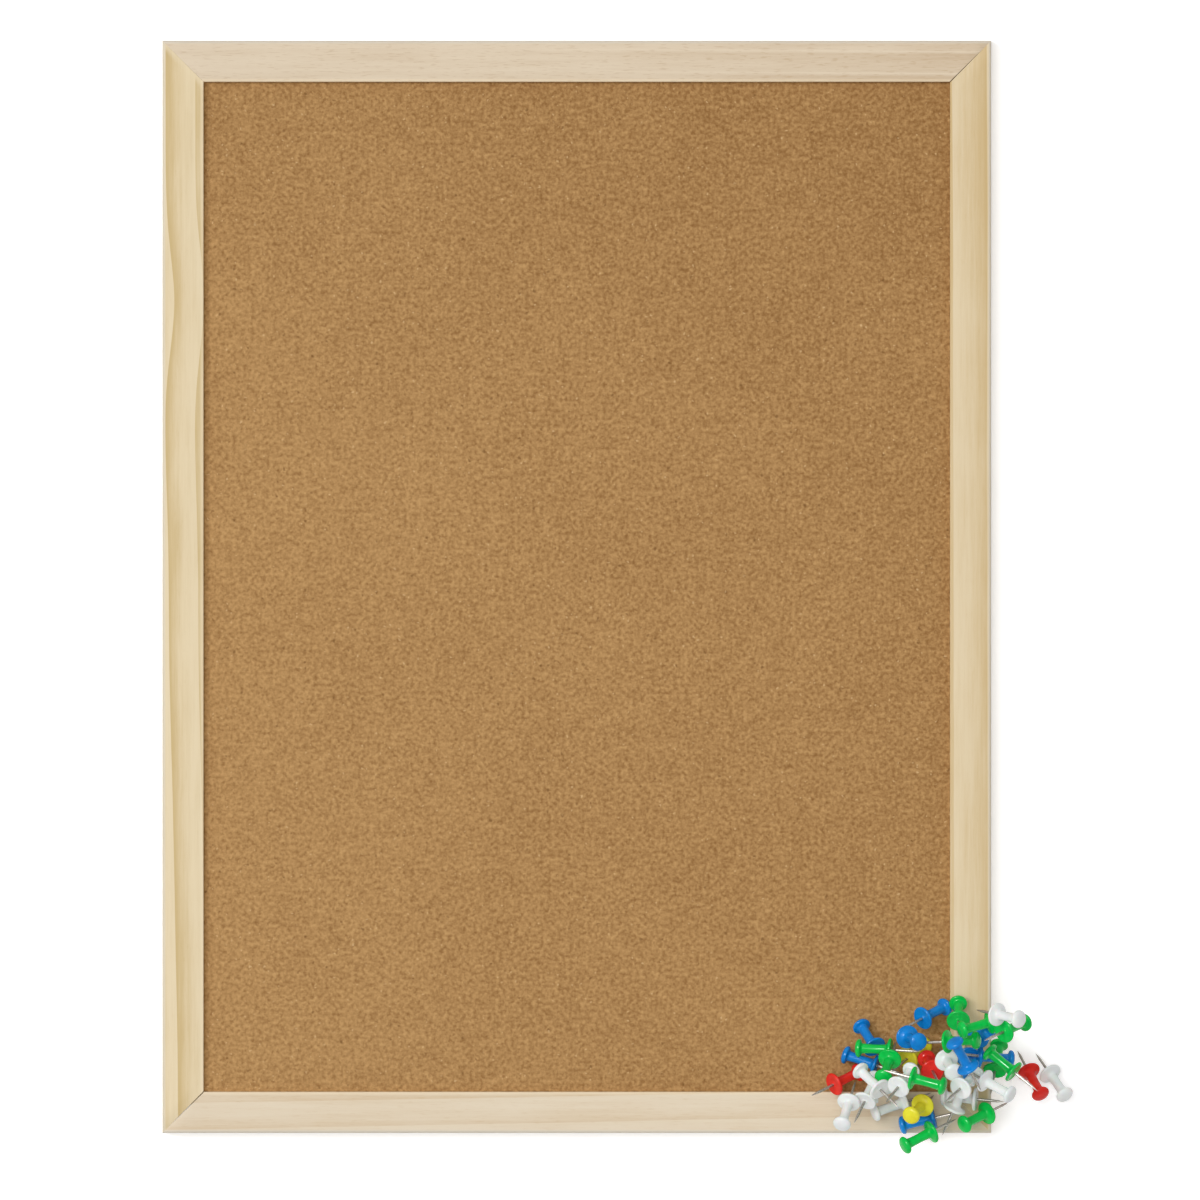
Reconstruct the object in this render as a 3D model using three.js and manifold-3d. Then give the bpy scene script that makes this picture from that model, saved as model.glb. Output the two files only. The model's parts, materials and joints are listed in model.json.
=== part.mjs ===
import * as THREE from 'three';
import { mergeVertices } from 'three/addons/utils/BufferGeometryUtils.js';
import Module from 'manifold-3d';

// A framed cork notice board lying face up, with a heap of push pins on its lower right corner.
// Lengths are millimetres. X runs right and Y up across the face, Z stands out of the cork,
// and the origin is the middle of the cork's face.

// Frame
const board_width = 302;
const board_height = 398;
const rail_width = 15;
const rail_depth = 12;
const face_recess = 3;
const groove_depth = 5;
const edge_round = 1.2;
const mitre_gap = 0.3;

// Panel of cork, softboard and backing paper, held in the rails' groove
const cork_thickness = 2;
const core_thickness = 3.5;
const backing_thickness = 0.6;
const groove_clearance = 0.3;

// Hanging plates across the two top corners, let into the back of the rails
const plate_leg = 48;
const plate_inset = 2;
const plate_thickness = 1.2;
const plate_round = 2.5;
const plate_clearance = 0.3;
const keyhole_radius = 3.4;
const keyhole_slot_width = 3.6;
const keyhole_slot_run = 4.5;
const keyhole_wall = 2.25;

// Countersunk screws, two to a plate
const screw_line = 6;
const screw_wall = 3;
const screw_head_radius = 2.4;
const screw_head_height = 1;
const screw_shank_radius = 0.9;
const screw_length = 7.5;
const screw_point = 1.6;
const screw_clearance = 0.3;

// Push pin: a moulded spool with a wide flange by the needle and a smaller domed cap
const pin_head_length = 13.4;
const flange_radius = 4.35;
const flange_rim = 1.15;
const flange_flare = 1.7;
const barrel_radius = 1.8;
const barrel_waist = 1.65;
const cap_radius = 3.4;
const cap_rim = 1;
const cap_dome = 1.1;
const cap_flare = 1.1;
const needle_radius = 0.5;
const needle_length = 10.7;
const needle_point = 3.2;
const needle_root = 7.5;
const needle_clearance = 0.15;

// The lowest gap left between a pin and what it has come to rest on
const settle_gap = 0.3;
const cut_overrun = 1;

// Facets of a round, and fields across a sheet
const round_steps = 4;
const hole_steps = 12;
const screw_steps = 12;
const pin_steps = 10;
const sheet_fields = 3;

// Shares that shape a spool: how far out the dome's middle ring lies, and where its flares hollow
const dome_share = 0.62;
const flare_share = 0.3;

// Heights that several pieces share
const front_z = face_recess;
const back_z = front_z - rail_depth;
const panel_back_z = -(cork_thickness + core_thickness + backing_thickness);

// Each pin's name, the place of its flange right of and above the board's lower right corner as shares
// of the pin's whole length, the heading of its needle and the needle's rise, both in degrees.
// The pins come to rest in this order.
const heap_shares = [
  ['white_13', 0.88, 0.91, 125, -40],
  ['red_3', 0.56, 0.94, 118, -42],
  ['blue_4', -1.73, 1.02, 341, 12],
  ['green_2', 0.05, 0.93, 260, 39],
  ['yellow_1', -1.28, 1.12, 219, 51],
  ['white_1', -1.3, 0.47, 19, -20],
  ['white_4', -1.31, 0.75, 19, -12],
  ['blue_5', -0.85, 0.23, 13, 8],
  ['white_3', -0.22, 0.51, 355, 12],
  ['blue_3', -1.76, 1.29, 302, 38],
  ['blue_7', -1.05, 1.73, 207, 43],
  ['green_5', -1.51, 1.26, 357, 12],
  ['red_1', -2.39, 0.73, 206, 30],
  ['white_12', -0.57, 0.35, 246, -20],
  ['green_10', -0.89, 0.03, 27, -26],
  ['green_11', -0.05, 0.31, 26, -41],
  ['white_2', -1.92, 0.48, 244, 40],
  ['white_7', -2.15, 0.49, 72, -48],
  ['blue_1', -0.35, 1.16, 100, -60],
  ['blue_6', -0.2, 1.17, 174, 12],
  ['yellow_2', -1.03, 0.43, 40, -65],
  ['green_1', -0.5, 1.69, 270, 61],
  ['green_7', -1.53, 1.14, 70, -56],
  ['white_6', -1.68, 0.66, 316, 36],
  ['red_2', -0.89, 0.94, 296, 61],
  ['green_9', 0.35, 0.92, 321, 14],
  ['white_9', -0.69, 1.12, 120, -66],
  ['blue_2', -0.21, 1.45, 215, -68],
  ['green_4', -0.69, 1.39, 183, -30],
  ['blue_8', -1.28, 1.46, 157, -64],
  ['green_3', 0, 1.69, 15, -27],
  ['green_8', 0.17, 1.54, 204, 41],
  ['white_10', -0.48, 0.68, 221, 45],
  ['white_11', -0.12, 0.81, 151, -27],
  ['white_5', -1.42, 0.7, 231, 45],
  ['green_6', -1.22, 0.85, 165, -12],
  ['white_8', 0.06, 1.81, 168, -50],
  ['blue_9', -0.35, 0.99, 299, -32],
];

// Pins whose needle is a piece of its own, pressed into a bore in the head
const two_piece_pins = [
  'white_7', 'white_8', 'white_13', 'yellow_2', 'green_6', 'green_9', 'green_10', 'green_11', 'blue_9',
];

// A pin rocks by up to this many degrees to find its lowest seat
const rock_angles = [-4, -2, 0, 2, 4];

const finishes = {
  pine: { color: '#dcc8a4', roughness: 0.6, metalness: 0 },
  cork: { color: '#ad8453', roughness: 0.9, metalness: 0 },
  softboard: { color: '#96774e', roughness: 0.9, metalness: 0 },
  paper: { color: '#b9a27c', roughness: 0.8, metalness: 0 },
  plate_steel: { color: '#b4b6b6', roughness: 0.35, metalness: 1 },
  screw_steel: { color: '#b4b6b6', roughness: 0.3, metalness: 1 },
  needle_steel: { color: '#b4b6b6', roughness: 0.25, metalness: 1 },
  green: { color: '#05b53c', roughness: 0.25, metalness: 0 },
  blue: { color: '#1682dc', roughness: 0.25, metalness: 0 },
  yellow: { color: '#e3dc36', roughness: 0.25, metalness: 0 },
  red: { color: '#e2332a', roughness: 0.25, metalness: 0 },
  white: { color: '#e6ecec', roughness: 0.3, metalness: 0 },
};

const wasm = await Module();
wasm.setup();

function piece(name, geometry, finish) {
  const mesh = new THREE.Mesh(geometry, new THREE.MeshStandardMaterial(finishes[finish]));
  mesh.name = name;
  return mesh;
}

// A closed geometry with position alone and its shared corners merged
function merged(geometry) {
  const bare = geometry.clone();
  bare.deleteAttribute('normal');
  bare.deleteAttribute('uv');
  return mergeVertices(bare);
}

function solidOf(geometry) {
  const closed = merged(geometry);
  const triVerts = new Uint32Array(closed.index.array);
  return new wasm.Manifold(
    new wasm.Mesh({ numProp: 3, vertProperties: closed.attributes.position.array, triVerts }),
  );
}

function geometryOf(solid) {
  const { vertProperties, triVerts } = solid.getMesh();
  const geometry = new THREE.BufferGeometry();
  geometry.setAttribute('position', new THREE.BufferAttribute(vertProperties, 3));
  geometry.setIndex(new THREE.BufferAttribute(triVerts, 1));
  return geometry;
}

// Cuts tools that stand in the board's frame out of a placed mesh
function cut(mesh, tools) {
  mesh.updateMatrix();
  let solid = solidOf(mesh.geometry.clone().applyMatrix4(mesh.matrix));
  for (const tool of tools) solid = solid.subtract(solidOf(tool));
  mesh.geometry = geometryOf(solid).applyMatrix4(mesh.matrix.clone().invert());
}

// A body turned round the vertical axis from rows of radius and height
function turned(rows, steps) {
  const profile = rows.map(([radius, height]) => new THREE.Vector2(radius, height));
  return new THREE.LatheGeometry(profile, steps);
}

// A mitred rail along X. Its outer edge lies on Y = 0 and its inner edge faces +Y.
// The section is extruded, and each end is then drawn out to the 45 degree mitre.
function railGeometry(length) {
  const groove_bottom = panel_back_z - groove_clearance;
  const groove_floor = rail_width - groove_depth;
  const round_z = front_z - edge_round;
  const section = new THREE.Shape();
  section.moveTo(0, back_z);
  section.lineTo(rail_width, back_z);
  section.lineTo(rail_width, groove_bottom);
  section.lineTo(groove_floor, groove_bottom);
  section.lineTo(groove_floor, groove_clearance);
  section.lineTo(rail_width, groove_clearance);
  section.absarc(rail_width - edge_round, round_z, edge_round, 0, Math.PI / 2, false);
  section.absarc(edge_round, round_z, edge_round, Math.PI / 2, Math.PI, false);
  section.closePath();
  const options = { depth: length, bevelEnabled: false, curveSegments: round_steps };
  const geometry = new THREE.ExtrudeGeometry(section, options);
  const corners = geometry.attributes.position;
  for (let i = 0; i < corners.count; i += 1) {
    const across = corners.getX(i);
    const height = corners.getY(i);
    const reach = length / 2 - across - mitre_gap / Math.SQRT2;
    corners.setXYZ(i, corners.getZ(i) > 0 ? reach : -reach, across, height);
  }
  return geometry;
}

// A rail in its place: its outer edge runs at the given distance from the board's middle
function rail(name, length, away, turn) {
  const mesh = piece(name, railGeometry(length), 'pine');
  mesh.rotation.z = turn;
  mesh.position.set(Math.sin(turn) * away, -Math.cos(turn) * away, 0);
  return mesh;
}

// A flat sheet of the panel, with its top face at the given height. The face is divided into fields,
// so that its middle field lies clear of the rails.
function sheet(name, thickness, top_z, finish) {
  const hidden = rail_width - groove_depth + groove_clearance;
  const width = board_width - 2 * hidden;
  const height = board_height - 2 * hidden;
  const box = new THREE.BoxGeometry(width, height, thickness, sheet_fields, sheet_fields);
  const mesh = piece(name, box, finish);
  mesh.position.z = top_z - thickness / 2;
  return mesh;
}

// Outline through corner points, each corner rounded off
function roundedOutline(points, radius) {
  const outline = new THREE.Shape();
  points.forEach((corner, i) => {
    const before = points[(i + points.length - 1) % points.length];
    const after = points[(i + 1) % points.length];
    const start = corner.clone().add(before.clone().sub(corner).setLength(radius));
    const end = corner.clone().add(after.clone().sub(corner).setLength(radius));
    if (i === 0) outline.moveTo(start.x, start.y);
    else outline.lineTo(start.x, start.y);
    outline.quadraticCurveTo(corner.x, corner.y, end.x, end.y);
  });
  outline.closePath();
  return outline;
}

// Triangle across a corner, measured inwards from the board's two outer edges
function plateOutline(growth) {
  const near = plate_inset - growth;
  const far = plate_inset + plate_leg + growth * (1 + Math.SQRT2);
  const places = [[near, near], [far, near], [near, far]];
  return roundedOutline(places.map(([x, y]) => new THREE.Vector2(x, y)), plate_round);
}

// The sum of both distances from the outer edges, on a line that lies inwards of the plate's long edge
function sumWithin(distance) {
  return 2 * plate_inset + plate_leg - distance * Math.SQRT2;
}

// Round hole with a slot towards each of the two outer edges
function keyhole() {
  const slot_radius = keyhole_slot_width / 2;
  const centre = sumWithin(keyhole_radius + keyhole_wall) / 2;
  const mouth = Math.asin(slot_radius / keyhole_radius);
  const end = centre - keyhole_slot_run;
  const hole = new THREE.Path();
  hole.absarc(centre, centre, keyhole_radius, -Math.PI / 2 + mouth, Math.PI - mouth, false);
  hole.absarc(end, centre, slot_radius, Math.PI / 2, Math.PI * 1.5, false);
  hole.absarc(centre, centre, keyhole_radius, Math.PI + mouth, Math.PI * 1.5 - mouth, false);
  hole.absarc(centre, end, slot_radius, Math.PI, Math.PI * 2, false);
  hole.closePath();
  return hole;
}

function extruded(outline, from_z, to_z) {
  const options = { depth: to_z - from_z, bevelEnabled: false, curveSegments: hole_steps };
  return new THREE.ExtrudeGeometry(outline, options).translate(0, 0, from_z);
}

// Screw with its flat head level with the rails' back, and the hole that takes it
function screwGeometry() {
  const shank_end = screw_length - screw_point;
  return turned([
    [0, 0],
    [screw_head_radius, 0],
    [screw_shank_radius, screw_head_height],
    [screw_shank_radius, shank_end],
    [0, screw_length],
  ], screw_steps).rotateX(Math.PI / 2);
}

function screwHole() {
  const head = screw_head_radius + screw_clearance;
  const shank = screw_shank_radius + screw_clearance;
  const bottom = screw_length + screw_clearance;
  return turned([
    [0, -cut_overrun],
    [head, -cut_overrun],
    [head, 0],
    [shank, screw_head_height],
    [shank, bottom],
    [0, bottom],
  ], screw_steps).rotateX(Math.PI / 2);
}

// The two screws of a plate, at matching places along its legs
const screw_reach = sumWithin(screw_head_radius + screw_clearance + screw_wall) - screw_line;
const screw_places = [[screw_reach, screw_line], [screw_line, screw_reach]];

// One top corner: its plate and screws, and the seat and holes that the rails need for them.
// The corner's own axes run inwards from the board's two outer edges, so the right corner is turned.
function cornerSet(side, right) {
  const frame = new THREE.Group();
  frame.position.set(right ? board_width / 2 : -board_width / 2, board_height / 2, back_z);
  frame.rotation.z = right ? Math.PI : -Math.PI / 2;
  frame.updateMatrix();
  const outline = plateOutline(0);
  outline.holes.push(keyhole());
  const plate = piece(`hanging_plate_${side}`, extruded(outline, 0, plate_thickness), 'plate_steel');
  const holes = screw_places.map(([x, y]) => screwHole().translate(x, y, 0));
  cut(plate, holes);
  frame.add(plate);
  screw_places.forEach(([x, y], i) => {
    const screw = piece(`plate_screw_${side}_${i + 1}`, screwGeometry(), 'screw_steel');
    screw.position.set(x, y, 0);
    frame.add(screw);
  });
  const seat = extruded(plateOutline(plate_clearance), -cut_overrun, plate_thickness + plate_clearance);
  const tools = [seat, ...holes].map((tool) => tool.applyMatrix4(frame.matrix));
  return { frame, tools };
}

// The spool's profile from the top of its cap to the flange's flat face at height zero
function spoolRows() {
  const cap_base = cap_dome - pin_head_length;
  const cap_neck = cap_base + cap_rim;
  const barrel_top = cap_neck + cap_flare;
  const barrel_end = -flange_rim - flange_flare;
  const mix = THREE.MathUtils.lerp;
  return [
    [0, -pin_head_length],
    [cap_radius * dome_share, cap_base - cap_dome * Math.sqrt(1 - dome_share ** 2)],
    [cap_radius, cap_base],
    [cap_radius, cap_neck],
    [mix(barrel_radius, cap_radius, flare_share), mix(barrel_top, cap_neck, 1 - flare_share)],
    [barrel_radius, barrel_top],
    [barrel_waist, (barrel_top + barrel_end) / 2],
    [barrel_radius, barrel_end],
    [mix(barrel_radius, flange_radius, flare_share), mix(barrel_end, -flange_rim, 1 - flare_share)],
    [flange_radius, -flange_rim],
    [flange_radius, 0],
  ];
}

// The needle's profile from where it leaves the flange to its tip
const needle_rows = [
  [needle_radius, needle_length - needle_point],
  [0, needle_length],
];

// A turned body laid over, so that the needle points along +X
function pinBody(rows) {
  return turned(rows, pin_steps).rotateZ(-Math.PI / 2);
}

const bore_radius = needle_radius + needle_clearance;
const bore_end = -needle_root - needle_clearance;
const whole_pin = pinBody([...spoolRows(), [needle_radius, 0], ...needle_rows]);
const bored_head = pinBody([...spoolRows(), [bore_radius, 0], [bore_radius, bore_end], [0, bore_end]]);
const loose_needle = pinBody([[0, -needle_root], [needle_radius, -needle_root], ...needle_rows]);

// A placed body as plain corner, edge and face lists, with its bounds
function bodyOf(geometry, matrix) {
  const closed = merged(geometry).applyMatrix4(matrix);
  const { array } = closed.attributes.position;
  const corners = [];
  for (let i = 0; i < array.length; i += 3) corners.push([array[i], array[i + 1], array[i + 2]]);
  const faces = [];
  const edges = [];
  const { array: order } = closed.index;
  for (let i = 0; i < order.length; i += 3) {
    const face = [order[i], order[i + 1], order[i + 2]];
    if (new Set(face).size < 3) continue;
    faces.push(face.map((k) => corners[k]));
    face.forEach((k, n) => {
      const next = face[(n + 1) % 3];
      if (k < next) edges.push([corners[k], corners[next]]);
    });
  }
  const bounds = new THREE.Box3().setFromBufferAttribute(closed.attributes.position);
  return { corners, faces, edges, bounds };
}

function overlapsInPlan(a, b) {
  return a.min.x < b.max.x && b.min.x < a.max.x && a.min.y < b.max.y && b.min.y < a.max.y;
}

// Height of a face's plane over a point in plan, or nothing where the point lies outside the face
function heightOn([a, b, c], [x, y]) {
  const area = (b[0] - a[0]) * (c[1] - a[1]) - (c[0] - a[0]) * (b[1] - a[1]);
  if (area === 0) return null;
  const u = ((x - a[0]) * (c[1] - a[1]) - (c[0] - a[0]) * (y - a[1])) / area;
  const v = ((b[0] - a[0]) * (y - a[1]) - (x - a[0]) * (b[1] - a[1])) / area;
  if (u < 0 || v < 0 || u + v > 1) return null;
  return a[2] + u * (b[2] - a[2]) + v * (c[2] - a[2]);
}

// How much higher one edge is than another where they cross in plan, or nothing where they don't
function heightBetween([a, b], [c, d]) {
  const ab = [b[0] - a[0], b[1] - a[1]];
  const cd = [d[0] - c[0], d[1] - c[1]];
  const cross = ab[0] * cd[1] - ab[1] * cd[0];
  if (cross === 0) return null;
  const along = ((c[0] - a[0]) * cd[1] - (c[1] - a[1]) * cd[0]) / cross;
  const other = ((c[0] - a[0]) * ab[1] - (c[1] - a[1]) * ab[0]) / cross;
  if (along < 0 || along > 1 || other < 0 || other > 1) return null;
  return a[2] + along * (b[2] - a[2]) - c[2] - other * (d[2] - c[2]);
}

// How far one body has to rise to come just clear of another that lies below it: the most that
// the lower one reaches over the upper one at a corner of either or where their edges cross in plan
function riseOver(upper, lower) {
  let rise = -Infinity;
  if (!overlapsInPlan(upper.bounds, lower.bounds)) return rise;
  const near = ({ bounds }, ends) => overlapsInPlan(bounds, {
    min: { x: Math.min(...ends.map((p) => p[0])), y: Math.min(...ends.map((p) => p[1])) },
    max: { x: Math.max(...ends.map((p) => p[0])), y: Math.max(...ends.map((p) => p[1])) },
  });
  const top_faces = lower.faces.filter((face) => near(upper, face));
  const low_faces = upper.faces.filter((face) => near(lower, face));
  for (const corner of upper.corners) {
    for (const face of top_faces) {
      const height = heightOn(face, corner);
      if (height !== null) rise = Math.max(rise, height - corner[2]);
    }
  }
  for (const corner of lower.corners) {
    for (const face of low_faces) {
      const height = heightOn(face, corner);
      if (height !== null) rise = Math.max(rise, corner[2] - height);
    }
  }
  const low_edges = upper.edges.filter((edge) => near(lower, edge));
  for (const edge of lower.edges.filter((each) => near(upper, each))) {
    for (const other of low_edges) {
      const height = heightBetween(edge, other);
      if (height !== null) rise = Math.max(rise, height);
    }
  }
  return rise;
}

// Lowers a pin in its given heading until it meets the heap, the board or the surface under them,
// trying each rocking angle and keeping the one that brings the middle of its spool lowest
function settle([, right_share, up_share, heading, rise], heap) {
  const pin_length = pin_head_length + needle_length;
  let best = null;
  for (const rock of rock_angles) {
    const frame = new THREE.Group();
    const tilt = THREE.MathUtils.degToRad(rise + rock);
    frame.rotation.set(0, -tilt, THREE.MathUtils.degToRad(heading), 'ZYX');
    frame.position.x = board_width / 2 + right_share * pin_length;
    frame.position.y = up_share * pin_length - board_height / 2;
    frame.updateMatrix();
    const body = bodyOf(whole_pin, frame.matrix);
    const rises = heap.map((lower) => riseOver(body, lower));
    const height = Math.max(back_z - body.bounds.min.z - settle_gap, ...rises) + settle_gap;
    const middle = height - Math.sin(tilt) * pin_head_length / 2;
    if (best === null || middle < best.middle) best = { frame, height, middle };
  }
  best.frame.position.z = best.height;
  best.frame.updateMatrix();
  return best.frame;
}

// A pin's pieces in its frame, in the colour that starts its name
function addPin(name, frame) {
  const [colour] = name.split('_');
  if (two_piece_pins.includes(name)) {
    frame.add(piece(`pin_${name}_head`, bored_head.clone(), colour));
    frame.add(piece(`pin_${name}_needle`, loose_needle.clone(), 'needle_steel'));
  } else {
    frame.add(piece(`pin_${name}`, whole_pin.clone(), colour));
  }
}

const board = new THREE.Group();

const rails = [
  rail('rail_bottom', board_width, board_height / 2, 0),
  rail('rail_right', board_height, board_width / 2, Math.PI / 2),
  rail('rail_top', board_width, board_height / 2, Math.PI),
  rail('rail_left', board_height, board_width / 2, -Math.PI / 2),
];
const corners = [cornerSet('left', false), cornerSet('right', true)];
const [, rail_right, rail_top, rail_left] = rails;
cut(rail_top, [...corners[0].tools, ...corners[1].tools]);
cut(rail_left, corners[0].tools);
cut(rail_right, corners[1].tools);
board.add(...rails, ...corners.map(({ frame }) => frame));

board.add(sheet('cork_sheet', cork_thickness, 0, 'cork'));
board.add(sheet('softboard_core', core_thickness, -cork_thickness, 'softboard'));
board.add(sheet('backing_paper', backing_thickness, -cork_thickness - core_thickness, 'paper'));

board.updateMatrixWorld(true);
const heap = [];
board.traverse((node) => {
  if (node.isMesh) heap.push(bodyOf(node.geometry, node.matrixWorld));
});
for (const row of heap_shares) {
  const frame = settle(row, heap);
  heap.push(bodyOf(whole_pin, frame.matrix));
  addPin(row[0], frame);
  board.add(frame);
}

export default board;
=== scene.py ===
# %% [markdown]
# # A cork board with its heap of push pins
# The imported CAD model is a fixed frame: it says where each rail, sheet and pin is, and which body
# it moves with. Everything below only dresses that frame. Places are in metres, +Z comes out of
# the cork, and +Y runs up the board.

# %% Load the frame
import json
import math

import bmesh
import bpy
import numpy as np
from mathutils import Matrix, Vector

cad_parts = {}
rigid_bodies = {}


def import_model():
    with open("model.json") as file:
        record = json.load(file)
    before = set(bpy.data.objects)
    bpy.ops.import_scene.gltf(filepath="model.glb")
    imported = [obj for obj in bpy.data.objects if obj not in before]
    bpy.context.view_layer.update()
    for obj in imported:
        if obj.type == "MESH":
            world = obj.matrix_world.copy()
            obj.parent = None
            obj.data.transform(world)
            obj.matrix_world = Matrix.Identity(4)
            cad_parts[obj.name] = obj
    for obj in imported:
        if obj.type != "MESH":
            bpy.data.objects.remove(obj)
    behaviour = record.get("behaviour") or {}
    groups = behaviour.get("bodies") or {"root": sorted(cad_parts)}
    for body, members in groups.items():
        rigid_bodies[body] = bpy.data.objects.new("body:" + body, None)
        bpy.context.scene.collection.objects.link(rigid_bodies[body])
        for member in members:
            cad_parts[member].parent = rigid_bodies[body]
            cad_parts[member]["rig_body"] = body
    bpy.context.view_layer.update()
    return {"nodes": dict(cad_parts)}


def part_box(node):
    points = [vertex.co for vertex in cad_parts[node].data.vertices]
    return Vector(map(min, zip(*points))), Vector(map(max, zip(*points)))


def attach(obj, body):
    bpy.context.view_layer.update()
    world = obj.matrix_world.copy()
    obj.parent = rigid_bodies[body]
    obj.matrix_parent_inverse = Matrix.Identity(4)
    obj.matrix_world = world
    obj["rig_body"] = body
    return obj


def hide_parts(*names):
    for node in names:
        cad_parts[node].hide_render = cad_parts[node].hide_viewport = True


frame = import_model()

mm = 0.001

# %% [markdown]
# ## Meshes from arrays
# A shape that follows a rule is best worked out as one numpy array and handed to Blender whole.
# The arrays go in with foreach_set, which is much quicker than adding corners one by one. Sculpting
# or adding primitives by hand would lose the exact link to the CAD sizes.

# %% Put arrays into a mesh
sharp_angle = math.radians(38)
merge_distance = 0.00001


def mesh_piece(name, points, *face_sets):
    """Object from points (n, 3) in millimetres and any number of face tables, one row a face."""
    mesh = bpy.data.meshes.new(name)
    corners = np.concatenate([faces.ravel() for faces in face_sets])
    sizes = np.concatenate([np.full(len(faces), faces.shape[1]) for faces in face_sets])
    mesh.vertices.add(len(points))
    mesh.vertices.foreach_set("co", (points * mm).astype(np.float32).ravel())
    mesh.loops.add(len(corners))
    mesh.loops.foreach_set("vertex_index", corners.astype(np.int32))
    mesh.polygons.add(len(sizes))
    mesh.polygons.foreach_set("loop_start", (np.cumsum(sizes) - sizes).astype(np.int32))
    mesh.update(calc_edges=True)
    face_outwards(mesh)
    piece = bpy.data.objects.new(name, mesh)
    bpy.context.scene.collection.objects.link(piece)
    return piece


def face_outwards(mesh):
    """Merges doubled corners, turns every face outwards and shades smoothly up to the sharp angle."""
    work = bmesh.new()
    work.from_mesh(mesh)
    bmesh.ops.remove_doubles(work, verts=work.verts, dist=merge_distance * mm)
    bmesh.ops.recalc_face_normals(work, faces=work.faces)
    work.to_mesh(mesh)
    work.free()
    mesh.shade_smooth()
    mesh.set_sharp_from_angle(angle=sharp_angle)


def grid_faces(rows, columns, closed_columns=False):
    """Four-sided faces of a grid: corner (i, j) joins (i, j + 1), (i + 1, j + 1) and (i + 1, j).
    Closed columns join the last column of corners to the first."""
    i = np.arange(rows - 1)
    j = np.arange(columns if closed_columns else columns - 1)
    i, j = np.meshgrid(i, j, indexing="ij")
    below, beside = i + 1, (j + 1) % columns
    corners = [i * columns + j, i * columns + beside, below * columns + beside, below * columns + j]
    return np.stack(corners, axis=-1).reshape(-1, 4)


print("mesh helpers ready")

# %% Give a piece its body and finish
def place_piece(piece, body, slot, finish, *nodes):
    """Rides the piece on its body with its finish, and lets it stand for CAD nodes. The slot is not used.
    """
    piece.data.materials.clear()
    piece.data.materials.append(finish)
    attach(piece, body)
    if nodes:
        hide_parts(*nodes)
    return piece


body_of = {node.name: node["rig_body"] for node in frame["nodes"].values()}
print("board body carries", sum(body == "board" for body in body_of.values()), "nodes")

# %% [markdown]
# ## Materials as arithmetic
# A node tree is a formula. A small class wraps one socket, so that the formula can be written as
# a Python sum and still ends up as ordinary nodes. Colours go through Mix nodes, since a Math node
# keeps only their brightness.

# %% A socket that can be used in a sum
class Wire:
    """One output socket. Operators add Math nodes, and node() adds any other kind."""

    def __init__(self, tree, socket):
        self.tree = tree
        self.socket = socket

    def node(self, kind, settings=None, sockets=None, output=0):
        """Adds a node, sets its settings first, then values or links by socket, and wires one output."""
        added = self.tree.nodes.new(kind)
        for name, value in (settings or {}).items():
            setattr(added, name, value)
        for key, value in (sockets or {}).items():
            if isinstance(value, Wire):
                self.tree.links.new(value.socket, added.inputs[key])
            else:
                added.inputs[key].default_value = value
        return Wire(self.tree, added.outputs[output])

    def math(self, operation, *values):
        """The Math node of that name, with this wire as its first value."""
        return self.node("ShaderNodeMath", {"operation": operation}, dict(enumerate((self, *values))))

    def __add__(self, other):
        return self.math("ADD", other)

    def __mul__(self, other):
        return self.math("MULTIPLY", other)

    def __sub__(self, other):
        return self.math("SUBTRACT", other)

    def __truediv__(self, other):
        return self.math("DIVIDE", other)

    def __rsub__(self, other):
        return self * -1 + other

    __radd__ = __add__
    __rmul__ = __mul__

    def ramp(self, low, high):
        """Rises smoothly from 0 at low to 1 at high."""
        sockets = {"Value": self, "From Min": low, "From Max": high}
        return self.node("ShaderNodeMapRange", {"interpolation_type": "SMOOTHSTEP"}, sockets)

    def hill(self, centre, width):
        """Bell of height 1: e to the power of minus the square of the distance in widths."""
        away = (self - centre) / width
        return (away * away * -1).math("EXPONENT")

    def channel(self):
        """The first channel of a colour, as a number."""
        return self.node("ShaderNodeSeparateColor", {}, {0: self})

    def mix(self, start, end):
        """Colour that goes from start to end as this wire goes from 0 to 1."""
        return self.node("ShaderNodeMix", {"data_type": "RGBA"}, {0: self, 6: start, 7: end}, output=2)


print("shader arithmetic ready")

# %% Start a finish, and measure its patterns in millimetres
def paint(red, green, blue):
    """Linear colour from the 0 to 255 values that a picture shows: the sRGB curve undone."""
    shown = np.array([red, green, blue]) / 255
    linear = np.where(shown <= 0.04045, shown / 12.92, ((shown + 0.055) / 1.055) ** 2.4)
    return (*linear.tolist(), 1.0)


def start_finish(name, roughness, metallic=0.0):
    """New material, its shader, and a wire of the place on the object in millimetres."""
    finish = bpy.data.materials.new(name)
    finish.use_nodes = True
    tree = finish.node_tree
    shader = tree.nodes["Principled BSDF"]
    shader.inputs["Roughness"].default_value = roughness
    shader.inputs["Metallic"].default_value = metallic
    coordinates = tree.nodes.new("ShaderNodeTexCoord")
    place = Wire(tree, coordinates.outputs["Object"])
    scaled = place.node("ShaderNodeVectorMath", {"operation": "SCALE"}, {0: place, "Scale": 1 / mm})
    return finish, shader, scaled


def feed(shader, socket, wire):
    """Links a wire to one of the shader's sockets."""
    wire.tree.links.new(wire.socket, shader.inputs[socket])


def relief(shader, height, depth):
    """Bump from a height wire of 0 to 1, with its full depth in millimetres."""
    feed(shader, "Normal", height.node("ShaderNodeBump", {}, {"Height": height, "Distance": depth * mm}))


def noise(place, size, detail=2.0, stretch=(1, 1, 1)):
    """Soft noise around one half, with features of about that size in millimetres."""
    stretched = place.node("ShaderNodeVectorMath", {"operation": "MULTIPLY"}, {0: place, 1: stretch})
    return place.node("ShaderNodeTexNoise", {}, {"Vector": stretched, "Scale": 1 / size, "Detail": detail})


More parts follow.
